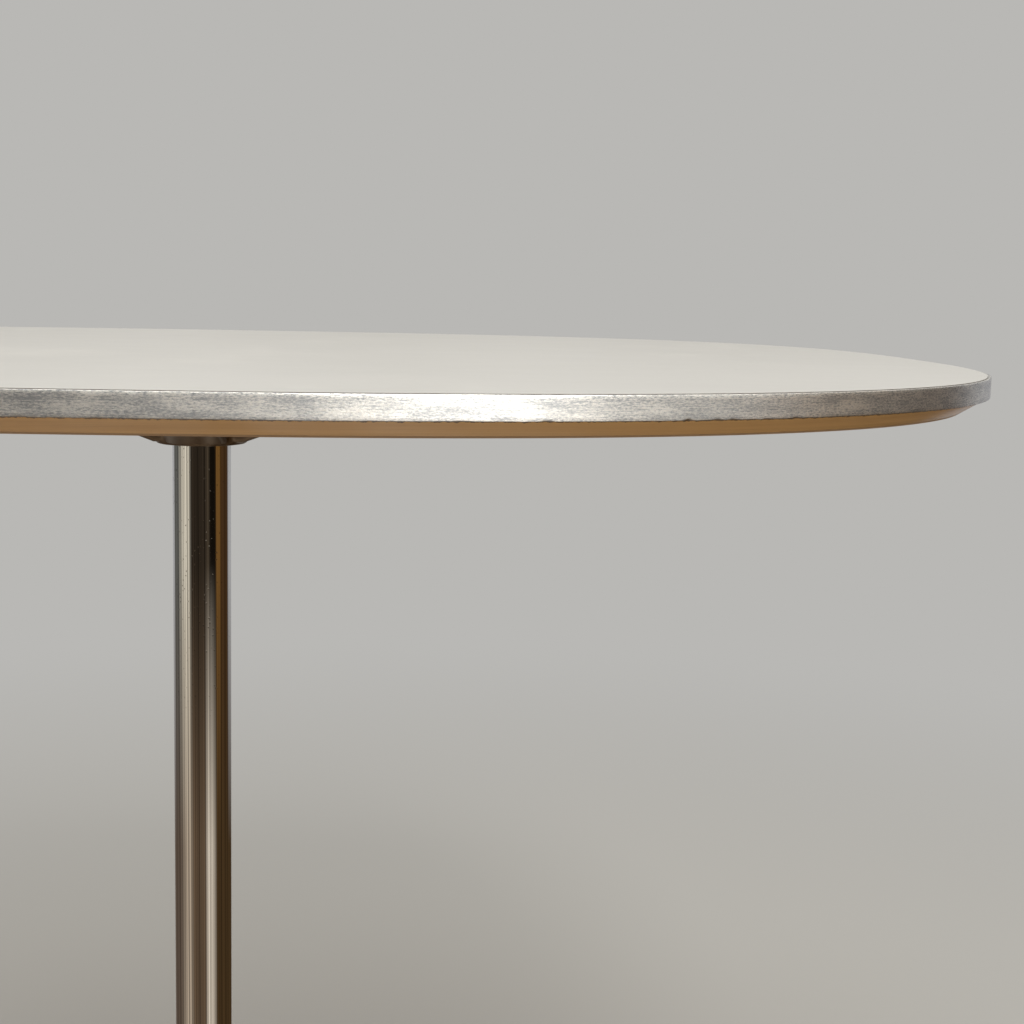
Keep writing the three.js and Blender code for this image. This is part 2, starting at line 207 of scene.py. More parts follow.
def swept(name, section, angles, closed, push=None):
    """A moulding round the outline. Section holds (inset, z) points, and push adds its own amount to each.

    Its mesh keeps two numbers at each point for its grain: how far along the outline it is, and how far
    round the section.
    """
    edge, normals, run = outline(angles)
    inset = np.array([p.x for p in section])[None, :]
    height = np.array([p.y for p in section])[None, :]
    if push is not None:
        inset = inset + push[0]
        height = height + push[1]
    inset = np.broadcast_to(inset, (len(angles), len(section)))
    points = np.zeros((len(angles), len(section), 3))
    points[:, :, :2] = edge[:, None, :] - normals[:, None, :] * inset[:, :, None]
    points[:, :, 2] = height
    faces = grid_faces(len(angles), len(section), closed, True)
    if not closed:
        last = (len(angles) - 1) * len(section)
        faces.append(list(range(len(section)))[::-1])
        faces.append([last + i for i in range(len(section))])
    piece = make_object(name, points.reshape(-1, 3), faces)
    around = np.concatenate([[0], np.cumsum([(b - a).length for a, b in zip(section, section[1:])])])
    grain = np.zeros((len(angles), len(section), 3), np.float32)
    grain[:, :, 0] = run[:, None]
    grain[:, :, 1] = around[None, :]
    attribute = piece.data.attributes.new("grain", "FLOAT_VECTOR", "POINT")
    attribute.data.foreach_set("vector", grain.ravel())
    return piece


def board(name, corners, steps=960):
    """A flat sheet that fills the outline. Its edge is (inset, z, softness) corners from its underside up."""
    rim = soften(corners)
    shares = (0.0, 0.25, 0.5, 0.75, 0.97)
    edge, normals, _ = outline(np.arange(steps) * 2 * math.pi / steps)
    rows = [(share, rim[0]) for share in shares]
    rows += [(1, p) for p in rim]
    rows += [(share, rim[-1]) for share in shares[::-1]]
    points = np.zeros((len(rows), steps, 3))
    for row, (share, p) in zip(points, rows):
        row[:, :2] = (edge - normals * p.x) * share
        row[:, 2] = p.y
    piece = make_object(name, points.reshape(-1, 3), grid_faces(len(rows), steps, False, True))
    weld(piece)
    return piece


# ---- Filleted castings, meshed from a signed distance ----


def smooth_max(a, b, radius):
    """The larger of two distances, with a fillet where they meet."""
    near = np.maximum(radius - np.abs(a - b), 0) / radius
    return np.maximum(a, b) + near * near * radius / 4


def smooth_min(a, b, radius):
    return -smooth_max(-a, -b, radius)


class Casting:
    """A star of four hollow arms round a hub. Depth runs from its flat face to the hub's far end."""

    def __init__(self, depth, reach, tip_width, tip_depth, bend, socket, wall, pocket_end, crown):
        self.depth = depth
        self.reach = reach
        self.tip = tip_width / 2
        self.wall = wall
        self.start = (HUB_RADIUS, depth - HUB_LIP)
        self.bend = bend
        self.end = (reach - self.tip, tip_depth)
        self.socket = socket
        self.pocket_end = pocket_end
        self.crown = crown

    def arm_depth(self, x):
        """How deep an arm is at a distance from the axis, along one curve from the hub to the tip."""
        (x0, q0), (x1, q1), (x2, q2) = self.start, self.bend, self.end
        a, b, c = x0 - 2 * x1 + x2, 2 * (x1 - x0), x0 - np.clip(x, x0, x2)
        t = (-b + np.sqrt(b * b - 4 * a * c)) / (2 * a)
        return (1 - t) ** 2 * q0 + 2 * t * (1 - t) * q1 + t * t * q2

    def arm_half_width(self, x):
        share = np.clip(x / self.end[0], 0, 1)
        return ARM_ROOT / 2 * (1 - share) + self.tip * share

    def arm(self, x, y, q):
        width = self.arm_half_width(x)
        sides = np.hypot(np.maximum(x - self.end[0], 0), y) - width + ARM_DRAFT * q
        crowned = self.arm_depth(x) - self.crown * (y / width) ** 2
        return smooth_max(sides, (q - crowned) * SLOPE_SHARE, ARM_ROUNDING)

    def pocket(self, x, y, q):
        sides = np.abs(y) - (self.arm_half_width(x) - self.wall) + ARM_DRAFT * q
        roof = (q - self.arm_depth(x) + self.wall * ROOF_SHARE) * SLOPE_SHARE
        ends = np.maximum(HUB_RADIUS + self.wall - x, x - self.pocket_end)
        return smooth_max(smooth_max(sides, roof, POCKET_FILLET), ends, POCKET_FILLET)

    def distance(self, x, y, q):
        x, y = np.abs(x), np.abs(y)
        from_axis = np.hypot(x, y)
        hub_side = from_axis - HUB_RADIUS + HUB_DRAFT * (q - self.depth)
        hub = smooth_max(hub_side, q - self.depth, HUB_ROUNDING)
        arms = smooth_min(self.arm(x, y, q), self.arm(y, x, q), ARM_FILLET)
        body = smooth_min(hub, arms, HUB_FILLET)
        body = smooth_max(body, np.maximum(q - self.depth, -q), EDGE_ROUNDING)
        for hollow in (self.pocket(x, y, q), self.pocket(y, x, q)):
            body = smooth_max(body, -hollow, EDGE_ROUNDING)
        floor = self.depth - self.socket
        socket = np.maximum(from_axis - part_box("column_tube")[1].x - FIT, floor - q)
        recess = np.maximum(from_axis - NUT_RECESS, q - (floor - WEB))
        for hollow in (socket, recess, from_axis - ROD_HOLE):
            body = smooth_max(body, -hollow, 1 * MM)
        return body


def with_holes(distance, holes):
    """The same distance with holes in each arm: (place along the arm, radius, from depth, to depth)."""

    def cut(x, y, q):
        body = distance(x, y, q)
        along, aside = np.maximum(np.abs(x), np.abs(y)), np.minimum(np.abs(x), np.abs(y))
        for place, radius, low, high in holes:
            hole = np.maximum(np.hypot(along - place, aside) - radius, np.maximum(low - q, q - high))
            body = smooth_max(body, -hole, 0.8 * MM)
        return body

    return cut


def cast(name, distance, low, high, pitch, to_depth):
    """The surface where a distance is zero, meshed by surface nets and then drawn onto it exactly."""
    field = lambda x, y, z: distance(x, y, to_depth(z))
    axes = [np.arange(a - 1.7 * pitch, b + 1.7 * pitch, pitch) for a, b in zip(low, high)]
    values = field(*np.meshgrid(*axes, indexing="ij", sparse=True))
    inside = values < 0
    cells = tuple(n - 1 for n in values.shape)
    offsets = [(i, j, k) for i in (0, 1) for j in (0, 1) for k in (0, 1)]
    part = lambda array, o: array[o[0] : cells[0] + o[0], o[1] : cells[1] + o[1], o[2] : cells[2] + o[2]]
    filled = sum(part(inside, o).astype(np.int8) for o in offsets)
    crossed = np.argwhere((filled > 0) & (filled < 8))
    number = np.full(cells, -1)
    number[tuple(crossed.T)] = np.arange(len(crossed))

    total = np.zeros((len(crossed), 3))
    count = np.zeros(len(crossed))
    for a in offsets:
        for axis in range(3):
            if a[axis]:
                continue
            b = tuple(v + (i == axis) for i, v in enumerate(a))
            va, vb = (values[tuple((crossed + o).T)] for o in (a, b))
            cut = (va < 0) != (vb < 0)
            share = np.where(cut, va / np.where(cut, va - vb, 1), 0)
            place = np.array(a, float)[None, :].repeat(len(crossed), 0)
            place[:, axis] += share
            total += place * cut[:, None]
            count += cut
    origin = np.array([axis[0] for axis in axes])
    points = origin + (crossed + total / count[:, None]) * pitch

    faces = []
    for axis in range(3):
        u, v = (axis + 1) % 3, (axis + 2) % 3
        moved = np.moveaxis(inside, axis, 0)
        changes = np.argwhere(moved[:-1] != moved[1:])
        rest = [i for i in range(3) if i != axis]
        edge = np.zeros_like(changes)
        edge[:, axis], edge[:, rest[0]], edge[:, rest[1]] = changes.T
        inner = (edge[:, u] > 0) & (edge[:, v] > 0) & (edge[:, u] < cells[u]) & (edge[:, v] < cells[v])
        edge = edge[inner]
        corners = []
        for du, dv in ((-1, -1), (0, -1), (0, 0), (-1, 0)):
            cell = edge.copy()
            cell[:, u] += du
            cell[:, v] += dv
            corners.append(number[tuple(cell.T)])
        quads = np.stack(corners, 1)
        leaving = inside[tuple(edge.T)]
        faces += quads[leaving].tolist() + quads[~leaving][:, ::-1].tolist()

    step = 0.2 * MM
    for _ in range(4):
        x, y, z = points.T
        here = field(x, y, z)
        slope = np.stack(
            [
                (field(x + dx, y + dy, z + dz) - field(x - dx, y - dy, z - dz)) / (2 * step)
                for dx, dy, dz in np.eye(3) * step
            ],
            1,
        )
        steepness = np.maximum((slope**2).sum(1), 0.2)
        points -= np.clip(here / steepness, -0.4 * pitch, 0.4 * pitch)[:, None] * slope
    return make_object(name, points, faces, sharp_degrees=60)


# ---- Materials ----


class Nodes:
    """Builds a node tree: a material's, or the world's."""

    def __init__(self, tree):
        self.tree = tree

    def node(self, kind, inputs=None, **settings):
        node = self.tree.nodes.new("ShaderNode" + kind)
        for key, value in settings.items():
            setattr(node, key, value)
        for key, value in (inputs or {}).items():
            self.plug(node.inputs[key], value)
        return node

    def plug(self, socket, value):
        if isinstance(value, bpy.types.NodeSocket):
            self.tree.links.new(value, socket)
        else:
            socket.default_value = value

    def scaled(self, vector, scale, offset=(0, 0, 0)):
        return self.node("Mapping", {"Vector": vector, "Scale": scale, "Location": offset}).outputs[0]

    def noise(self, vector, scale=(1, 1, 1), detail=3.0, roughness=0.55, offset=(0, 0, 0)):
        """Noise from 0 to 1 whose cells are 1 / scale metres across on each axis."""
        inputs = {"Vector": self.scaled(vector, scale, offset), "Scale": 1.0}
        inputs |= {"Detail": detail, "Roughness": roughness}
        return self.node("TexNoise", inputs).outputs["Fac"]

    def spots(self, vector, scale, radius, offset=(0, 0, 0)):
        """1 in scattered round spots and 0 elsewhere; radius is a share of a cell."""
        inputs = {"Vector": self.scaled(vector, scale, offset), "Scale": 1.0}
        distance = self.node("TexVoronoi", inputs).outputs["Distance"]
        return self.limits(distance, radius, radius * 0.5)

    def math(self, operation, a, b=0.0):
        node = self.node("Math", operation=operation)
        self.plug(node.inputs[0], a)
        self.plug(node.inputs[1], b)
        return node.outputs[0]

    def limits(self, value, low, high, to_low=0.0, to_high=1.0):
        """Takes low to high onto to_low to to_high, clamped."""
        inputs = {"Value": value, "From Min": low, "From Max": high, "To Min": to_low, "To Max": to_high}
        return self.node("MapRange", inputs).outputs[0]

    def mix(self, share, a, b, blend="MIX"):
        node = self.node("Mix", data_type="RGBA", blend_type=blend)
        self.plug(node.inputs[0], share)
        self.plug(node.inputs[6], rgba(a))
        self.plug(node.inputs[7], rgba(b))
        return node.outputs[2]

    def ramp(self, share, stops, interpolation="LINEAR"):
        node = self.node("ValToRGB", {"Fac": share})
        node.color_ramp.interpolation = interpolation
        elements = node.color_ramp.elements
        while len(elements) < len(stops):
            elements.new(0.5)
        for element, (place, color) in zip(elements, stops):
            element.position = place
            element.color = rgba(color)
        return node.outputs[0]

    def bump(self, height, distance, strength=1.0, normal=None):
        inputs = {"Height": height, "Distance": distance, "Strength": strength}
        if normal is not None:
            inputs["Normal"] = normal
        return self.node("Bump", inputs).outputs[0]


def rgba(color):
    if isinstance(color, bpy.types.NodeSocket):
        return color
    return (*color, 1.0) if len(color) == 3 else tuple(color)


class Material(Nodes):
    """A Principled material, patterned by a point's place in the frame or along its moulding."""

    def __init__(self, name):
        self.material = bpy.data.materials.new(name)
        self.material.use_nodes = True
        super().__init__(self.material.node_tree)
        self.shader = self.tree.nodes["Principled BSDF"]
        self.place = self.node("TexCoord").outputs["Object"]

    def along(self):
        return self.node("Attribute", attribute_name="grain").outputs["Vector"]

    def set(self, **inputs):
        for key, value in inputs.items():
            name = "Specular IOR Level" if key == "specular_level" else key.replace("_", " ").title()
            self.plug(self.shader.inputs[name], rgba(value) if isinstance(value, tuple) else value)
        return self.material


def laminate_material():
    m = Material("laminate")
    cloud = m.noise(m.place, (2.2, 2.2, 1), 4)
    worn = m.limits(m.noise(m.place, (9, 5, 1), 5, 0.65, (3, 1, 0)), 0.56, 0.72)
    color = m.mix(cloud, (0.535, 0.53, 0.505), (0.565, 0.56, 0.54))
    color = m.mix(m.math("MULTIPLY", worn, 0.35), color, (0.63, 0.62, 0.59))
    scratches = m.limits(m.noise(m.place, (7, 900, 1), 2, 0.5, (0, 5, 0)), 0.66, 0.72)
    crossing = m.limits(m.noise(m.place, (700, 11, 1), 2, 0.5, (2, 0, 0)), 0.67, 0.73)
    marks = m.math("MULTIPLY", m.math("MAXIMUM", scratches, crossing), worn)
    color = m.mix(m.math("MULTIPLY", marks, 0.3), color, (0.78, 0.775, 0.75))
    height = m.node("SeparateXYZ", {"Vector": m.place}).outputs["Z"]
    cut_edge = m.limits(height, top_face - 0.10 * MM, top_face - 0.16 * MM)
    color = m.mix(cut_edge, color, (0.07, 0.05, 0.035))
    rough = m.limits(m.noise(m.place, (14, 14, 1), 5, 0.6), 0.3, 0.7, 0.42, 0.52)
    rough = m.math("ADD", rough, m.math("MULTIPLY", worn, 0.08))
    fine = m.noise(m.place, (900, 900, 900), 2)
    normal = m.bump(fine, 0.02 * MM, 0.5)
    return m.set(base_color=color, roughness=rough, normal=normal, specular_level=0.38)


def edge_metal_material():
    """Aluminium brushed along its length and rubbed bright in short flecks, over faint patches."""
    m = Material("edge_aluminium")
    along = m.along()
    patches = m.noise(along, (45, 160, 1), 4, 0.6, (1, 9, 0))
    flecks = m.noise(along, (520, 1600, 1), 4, 0.72, (11, 0, 0))
    lines = m.noise(along, (70, 1500, 1), 3, 0.65, (0, 13, 0))
    tone = m.math("ADD", m.math("MULTIPLY", flecks, 0.55), m.math("MULTIPLY", patches, 0.25))
    tone = m.math("ADD", tone, m.math("MULTIPLY", lines, 0.2))
    blue_grey, silver, cream = (0.40, 0.415, 0.435), (0.70, 0.70, 0.685), (1.0, 0.98, 0.93)
    color = m.ramp(tone, [(0.43, blue_grey), (0.50, silver), (0.56, cream)])
    height = m.node("SeparateXYZ", {"Vector": m.place}).outputs["Z"]
    rubbed = m.limits(height, top_face - 3.2 * MM, top_face - 0.6 * MM)
    rubbed = m.math("MULTIPLY", rubbed, m.limits(flecks, 0.44, 0.54))
    color = m.mix(m.math("MULTIPLY", rubbed, 0.8), color, (1.0, 0.985, 0.94))
    nicks = m.limits(m.noise(along, (300, 1900, 1), 4, 0.7, (5, 3, 0)), 0.38, 0.33)
    color = m.mix(m.math("MULTIPLY", nicks, 0.6), color, (0.20, 0.195, 0.19))
    rough = m.limits(flecks, 0.35, 0.65, 0.46, 0.32)
    normal = m.bump(lines, 0.05 * MM, 0.6)
    normal = m.bump(flecks, 0.10 * MM, 0.8, normal)
    upright = m.node("CombineXYZ", {"X": 0.0, "Y": 0.0, "Z": 1.0}).outputs[0]
    m.set(anisotropic=0.9, tangent=upright)
    return m.set(base_color=color, metallic=1.0, roughness=rough, normal=normal)


def wood_pattern(m, lengthwise, dark, light, pore):
    """Soft bands, fine lines and short dark flecks, along the grain on the first axis of lengthwise."""
    bands = m.noise(lengthwise, (3, 160, 60), 4, 0.6)
    lines = m.noise(lengthwise, (12, 1400, 500), 3, 0.7, (3, 0, 0))
    share = m.math("ADD", m.math("MULTIPLY", bands, 0.6), m.math("MULTIPLY", lines, 0.4))
    color = m.ramp(share, [(0.32, dark), (0.66, light)])
    flecks = m.limits(m.noise(lengthwise, (420, 2600, 900), 2, 0.5, (0, 7, 0)), 0.66, 0.72)
    return m.mix(m.math("MULTIPLY", flecks, 0.4), color, pore), lines, flecks


def beech_material():
    m = Material("beech")
    along = m.along()
    dark, light, pore = (0.50, 0.26, 0.088), (0.70, 0.393, 0.146), (0.26, 0.13, 0.05)
    color, lines, flecks = wood_pattern(m, along, dark, light, pore)
    parts = m.node("SeparateXYZ", {"Vector": along}).outputs
    # Painted shade: a ragged dark line along the top of the lipping, just under the band, where the gap
    # between them falls in shade.
    ragged = m.noise(m.node("CombineXYZ", {"X": parts["X"]}).outputs[0], (260, 1, 1), 4, 0.7, (2, 0, 0))
    shadow = m.math("SUBTRACT", m.limits(ragged, 0.44, 0.66, 1.0 * MM, 2.7 * MM), parts["Y"])
    painted_gap_shade = m.limits(shadow, 0, 0.4 * MM)
    color = m.mix(m.math("MULTIPLY", painted_gap_shade, 0.85), color, (0.07, 0.045, 0.03))
    rough = m.limits(lines, 0.3, 0.7, 0.46, 0.34)
    height = m.math("SUBTRACT", lines, flecks)
    normal = m.bump(height, 0.03 * MM, 0.6)
    return m.set(base_color=color, roughness=rough, normal=normal, coat_weight=0.7, coat_roughness=0.16)


def veneer_material():
    m = Material("veneer")
    dark, light, pore = (0.34, 0.19, 0.09), (0.47, 0.29, 0.15), (0.20, 0.10, 0.05)
    color, lines, flecks = wood_pattern(m, m.place, dark, light, pore)
    leaves = m.noise(m.scaled(m.place, (0, 7, 0)), (1, 1, 1), 0, 0.5)
    color = m.mix(m.limits(leaves, 0.3, 0.7, 0, 0.35), color, (0.30, 0.17, 0.085))
    rough = m.limits(lines, 0.3, 0.7, 0.58, 0.45)
    normal = m.bump(m.math("SUBTRACT", lines, flecks), 0.05 * MM, 0.6)
    return m.set(base_color=color, roughness=rough, normal=normal, specular_level=0.35)


def chipboard_material():
    m = Material("chipboard")
    inputs = {"Vector": m.scaled(m.place, (420, 420, 900)), "Scale": 1.0}
    chips = m.node("TexVoronoi", inputs, feature="SMOOTH_F1").outputs["Color"]
    grey = m.node("RGBToBW", {"Color": chips}).outputs[0]
    color = m.ramp(grey, [(0.2, (0.28, 0.18, 0.09)), (0.5, (0.47, 0.33, 0.18)), (0.8, (0.62, 0.47, 0.29))])
    return m.set(base_color=color, roughness=0.9, normal=m.bump(grey, 0.2 * MM, 0.7))


def chrome_material():
    m = Material("chrome")
    film = m.noise(m.place, (60, 60, 9), 4, 0.6)
    color = m.mix(film, (0.70, 0.68, 0.65), (0.82, 0.81, 0.79))
    height = m.node("SeparateXYZ", {"Vector": m.place}).outputs["Z"]
    worn = m.limits(m.noise(m.place, (30, 30, 12), 4), 0.38, 0.56)
    worn = m.math("MULTIPLY", worn, m.limits(height, 0.45, 0.63))
    pits = m.math("MULTIPLY", m.spots(m.place, (360, 360, 280), 0.2), worn)
    color = m.mix(m.math("MULTIPLY", pits, 0.85), color, (0.10, 0.085, 0.07))
    polish = m.noise(m.place, (900, 900, 14), 2, 0.5)
    rough = m.math("ADD", m.limits(film, 0.3, 0.7, 0.02, 0.05), m.math("MULTIPLY", pits, 0.4))
    normal = m.bump(polish, 0.004 * MM, 0.5)
    normal = m.bump(pits, -0.06 * MM, 0.7, normal)
    return m.set(base_color=color, metallic=1.0, roughness=rough, normal=normal)


def cast_material():
    m = Material("cast_aluminium")
    mottle = m.noise(m.place, (35, 35, 35), 5, 0.6)
    skin = m.noise(m.place, (900, 900, 900), 3, 0.6)
    color = m.mix(mottle, (0.23, 0.175, 0.125), (0.38, 0.31, 0.24))
    grime = m.limits(m.noise(m.place, (120, 120, 120), 4, 0.65, (3, 0, 0)), 0.56, 0.70)
    color = m.mix(m.math("MULTIPLY", grime, 0.3), color, (0.20, 0.17, 0.14))
    rough = m.limits(mottle, 0.3, 0.7, 0.42, 0.56)
    normal = m.bump(mottle, 0.08 * MM, 0.35)
    normal = m.bump(skin, 0.05 * MM, 0.6, normal)
    return m.set(base_color=color, metallic=1.0, roughness=rough, normal=normal)


def steel_material():
    m = Material("zinc_steel")
    cloud = m.noise(m.place, (160, 160, 160), 4, 0.6)
    color = m.mix(cloud, (0.46, 0.45, 0.43), (0.64, 0.63, 0.60))
    stain = m.limits(m.noise(m.place, (420, 420, 420), 3, 0.6, (1, 2, 3)), 0.60, 0.70)
    color = m.mix(m.math("MULTIPLY", stain, 0.4), color, (0.25, 0.20, 0.14))
    rough = m.limits(cloud, 0.3, 0.7, 0.28, 0.42)
    return m.set(base_color=color, metallic=1.0, roughness=rough, normal=m.bump(cloud, 0.03 * MM, 0.5))


def plastic_material():
    m = Material("black_plastic")
    cloud = m.noise(m.place, (90, 90, 90), 4, 0.6)
    color = m.mix(cloud, (0.018, 0.018, 0.019), (0.034, 0.033, 0.032))
    scuffed = m.limits(m.noise(m.place, (300, 300, 120), 3, 0.7, (4, 0, 0)), 0.58, 0.68)
    color = m.mix(m.math("MULTIPLY", scuffed, 0.4), color, (0.10, 0.098, 0.095))
    grain = m.noise(m.place, (2600, 2600, 2600), 2, 0.5)
    rough = m.limits(cloud, 0.3, 0.7, 0.48, 0.62)
    return m.set(base_color=color, roughness=rough, normal=m.bump(grain, 0.05 * MM, 0.6))


# ---- The pieces ----

materials = {
    "laminate": laminate_material(),
    "chipboard": chipboard_material(),
    "beech": beech_material(),
    "veneer": veneer_material(),
    "edge_aluminium": edge_metal_material(),
    "cast_aluminium": cast_material(),
    "chrome": chrome_material(),
    "steel": steel_material(),
    "black_plastic": plastic_material(),
}
slot_of = {part["node"]: part["material_slot"] for part in frame["record"]["subparts"]}
body_of = {node: body for body, nodes in frame["record"]["behaviour"]["bodies"].items() for node in nodes}


def stand_for(piece, node):
    """Gives a piece its node's finish, lets it ride on the node's body and hides the node."""
    piece.data.materials.clear()
    piece.data.materials.append(materials[slot_of[node]])
    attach(piece, body_of[node])
    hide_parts(node)
    return piece


def build_laminate():
    low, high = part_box("laminate_sheet")
    inset = BAND_WALL + FIT
    corners = [(inset, low.z, 0), (inset, high.z, 0.08 * MM), (inset + 3 * MM, high.z, 0)]
    stand_for(board("laminate_sheet_fine", corners), "laminate_sheet")


def build_backing():
    low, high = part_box("backing_veneer")
    slope = (BEVEL_INSET - BAND_WALL - FIT) / (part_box("edge_band")[0].z - low.z)
    upper = BEVEL_INSET - slope * (high.z - low.z)
    corners = [(BEVEL_INSET + 3 * MM, low.z, 0), (BEVEL_INSET, low.z, 0.3 * MM), (upper, high.z, 0)]
    stand_for(board("backing_veneer_fine", corners), "backing_veneer")


def build_lipping():
    low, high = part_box("edge_lipping")
    band_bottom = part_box("edge_band")[0].z
    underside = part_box("backing_veneer")[0].z
    inset = BAND_WALL + FIT
    slope = (BEVEL_INSET - inset) / (band_bottom - underside)
    middle = top_face - TONGUE_MIDDLE
    groove = TONGUE_HEIGHT / 2 + FIT
    floor = inset + TONGUE_DEPTH + FIT
    inner = inset + LIPPING_WIDTH
    corners = [
        (inset, band_bottom, 0.5 * MM),
        (inset + slope * (band_bottom - low.z), low.z, 0.3 * MM),
        (inner, low.z, 0),
        (inner, high.z, 0),
        (inset, high.z, 0),
        (inset, middle + groove, 0),
        (floor, middle + groove, 0),
        (floor, middle - groove, 0),
        (inset, middle - groove, 0),
    ]
    section = divide(soften(corners, closed=True), 5 * MM, closed=True)
    angles = np.arange(1440) * 2 * math.pi / 1440
    piece = swept("edge_lipping_fine", section, angles, closed=True)
    stand_for(piece, "edge_lipping")


def build_band(seed=7):
    """The aluminium strip, with knocks along both arrises and shallow dents in its face."""
    low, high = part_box("edge_band")
    middle = top_face - TONGUE_MIDDLE
    tongue = BAND_WALL + TONGUE_DEPTH
    corners = [
        (0, low.z, 0.35 * MM),
        (BAND_WALL, low.z, 0.1 * MM),
        (BAND_WALL, middle - TONGUE_HEIGHT / 2, 0),
        (tongue, middle - TONGUE_HEIGHT / 2, 0.2 * MM),
        (tongue, middle + TONGUE_HEIGHT / 2, 0.2 * MM),
        (BAND_WALL, middle + TONGUE_HEIGHT / 2, 0),
        (BAND_WALL, high.z - LAMINATE_STEP, 0.1 * MM),
        (0, high.z - LAMINATE_STEP, 0.4 * MM),
    ]
    section = soften(corners, closed=True, steps=3)
    face = divide([section[-1], section[0]], 1.6 * MM)[1:-1]
    hidden = len(section) // 2  # where the section starts and ends
    section = section[hidden:] + face + section[:hidden]
    seam = math.radians(105)
    half_gap = 0.2 * MM / half_width
    steps = 2800
    angles = np.linspace(seam + half_gap, seam + 2 * math.pi - half_gap, steps)
    _, _, run = outline(angles)
    across = np.array([p.y for p in section])
    outer = np.array([p.x for p in section]) < BAND_WALL * 0.6
    rng = np.random.default_rng(seed)
    inwards = np.zeros((steps, len(section)))
    upwards = np.zeros((steps, len(section)))

    def knock(place, height, length, tall, depth, lift=0.0):
        along = np.clip(1 - ((run - place) / length) ** 2, 0, 1)[:, None]
        up = np.clip(1 - ((across - height) / tall) ** 2, 0, 1)[None, :]
        inwards[:] += depth * along * up * outer[None, :]
        upwards[:] += lift * along * up * outer[None, :]

    for _ in range(240):
        place, length = rng.uniform(0, run[-1]), rng.uniform(1.5, 4) * MM
        knock(place, high.z, length, 1.2 * MM, rng.uniform(0.01, 0.12) * MM, rng.uniform(-0.12, 0) * MM)
    for _ in range(200):
        place, length = rng.uniform(0, run[-1]), rng.uniform(1.5, 4) * MM
        knock(place, low.z, length, 0.9 * MM, 0, rng.uniform(-0.2, 0.5) * MM)
    for _ in range(120):
        place, length = rng.uniform(0, run[-1]), rng.uniform(4, 14) * MM
        height = rng.uniform(low.z, high.z)
        knock(place, height, length, rng.uniform(1.5, 4) * MM, rng.uniform(0.005, 0.03) * MM)
    piece = swept("edge_band_fine", section, angles, closed=False, push=(inwards, upwards))
    weld(piece)
    stand_for(piece, "edge_band")


def build_castings():
    low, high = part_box("top_spider")
    flat = high.z
    spider = Casting(
        depth=high.z - low.z,
        reach=high.x,
        tip_width=28 * MM,
        tip_depth=9 * MM,
        bend=(67 * MM, 31 * MM),
        socket=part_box("column_tube")[1].z - low.z,
        wall=4.5 * MM,
        pocket_end=104 * MM,
        crown=0.9 * MM,
    )
    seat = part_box("top_screw_1")[1].z - SCREW_LENGTH
    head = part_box("top_screw_1")[1].y
    holes = [(r, head + FIT, flat - seat, 1) for r in SCREW_RADII]
    holes += [(r, SCREW_RADIUS + FIT, -1, 1) for r in SCREW_RADII]
    field = with_holes(spider.distance, holes)
    piece = cast("top_spider_fine", field, low, high, 1.3 * MM, lambda z: flat - z)
    stand_for(piece, "top_spider")

    low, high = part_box("base_star")
    underside = low.z
    star = Casting(
        depth=high.z - low.z,
        reach=high.x,
        tip_width=32 * MM,
        tip_depth=22 * MM,
        bend=(112 * MM, 40 * MM),
        socket=high.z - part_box("column_tube")[0].z,
        wall=5 * MM,
        pocket_end=316 * MM,
        crown=2.2 * MM,
    )
    glide = (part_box("glide_pad_1")[0].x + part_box("glide_pad_1")[1].x) / 2
    field = with_holes(star.distance, [(glide, GLIDE_HOLE[0], -1, GLIDE_HOLE[1])])
    piece = cast("base_star_fine", field, low, high, 1.9 * MM, lambda z: z - underside)
    stand_for(piece, "base_star")


def build_column():
    low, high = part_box("column_tube")
    outer, inner = high.x, high.x - COLUMN_WALL
    corners = [
        (outer, low.z, 0.4 * MM),
        (outer, high.z, 0.4 * MM),
        (inner, high.z, 0.3 * MM),
        (inner, low.z, 0.3 * MM),
    ]
    rows = profile_rows(corners, closed=True, longest=20 * MM)
    stand_for(turned("column_tube_fine", rows, 192, ring=True), "column_tube")


# ---- Threads, nuts and other small turned parts ----


def thread(radius, depth, pitch, z, columns):
    """The radius round a screw thread at one height."""
    turn = np.arange(columns) / columns
    share = np.abs(((z / pitch - turn) % 1) * 2 - 1)
    return radius - depth * np.clip(share * 1.5 - 0.25, 0, 1)


def threaded_rows(radius, pitch, low, high, columns, per_turn=10):
    depth = 0.6 * pitch
    heights = np.arange(low, high, pitch / per_turn)
    return [(z, thread(radius, depth, pitch, z, columns)) for z in heights]


def hexagon(across_flats, columns):
    """The radius round a hexagon."""
    angle = np.arange(columns) * 2 * math.pi / columns
    return across_flats / 2 / np.cos((angle + math.pi / 6) % (math.pi / 3) - math.pi / 6)


def hexagon_rows(across_flats, low, high, columns, inner):
    """A hexagon's sides with both rims chamfered, from inner radius to inner radius."""
    shape = hexagon(across_flats, columns)
    rim = np.minimum(shape, across_flats / 2)
    shoulder = 0.09 * across_flats
    levels = np.linspace(0, 1, 4)
    rows = [(low, inner)]
    rows += [(low + shoulder * t, np.minimum(shape, rim + t * 2 * shoulder)) for t in levels]
    rows += [(high - shoulder * t, np.minimum(shape, rim + t * 2 * shoulder)) for t in levels[::-1]]
    rows += [(high, inner)]
    return rows


